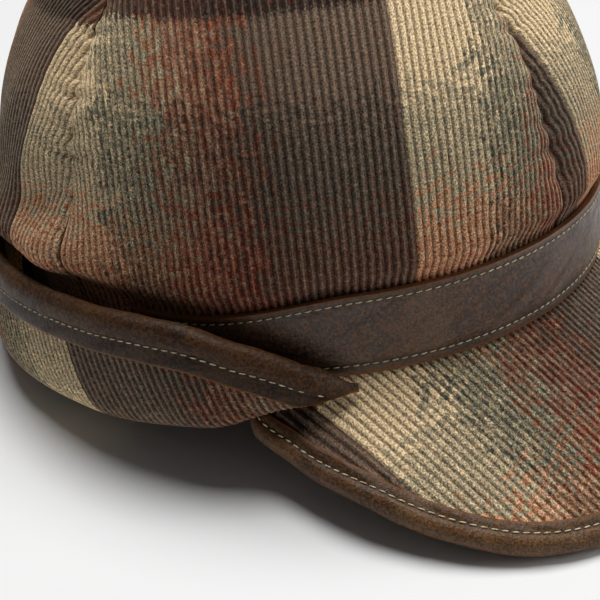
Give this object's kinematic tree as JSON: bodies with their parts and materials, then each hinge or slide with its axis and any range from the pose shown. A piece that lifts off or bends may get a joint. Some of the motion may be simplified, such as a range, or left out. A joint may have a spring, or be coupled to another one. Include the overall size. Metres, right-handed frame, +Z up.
{
  "type": "ear flap cap",
  "caption": "Plaid corduroy cap with a domed panelled crown, a leather band, a leather-bound front peak and a turned-up ear and neck flap with leather trim",
  "frame": {"origin": "middle of the bounding box at the level of the surface the cap rests on", "axes": "+Z up, the peak points along -Y, the wearer's left is +X"},
  "size_m": [0.217, 0.274, 0.1535],
  "materials": {
    "plaid_corduroy": "ribbed corduroy in a shaded plaid of beige, teal grey, rust and charcoal brown",
    "dark_leather": "dark brown pebbled leather with a soft sheen and raw tan edges",
    "brown_leather": "brown leather binding with pale stitching"
  },
  "bodies": {
    "root": {"crown_panel_front_right": "plaid_corduroy", "crown_panel_front_left": "plaid_corduroy", "crown_panel_back_right": "plaid_corduroy", "crown_panel_back_left": "plaid_corduroy", "leather_band": "dark_leather", "peak": "plaid_corduroy", "peak_binding": "brown_leather", "ear_flap": "plaid_corduroy", "ear_flap_trim": "brown_leather"}
  },
  "joints": []
}
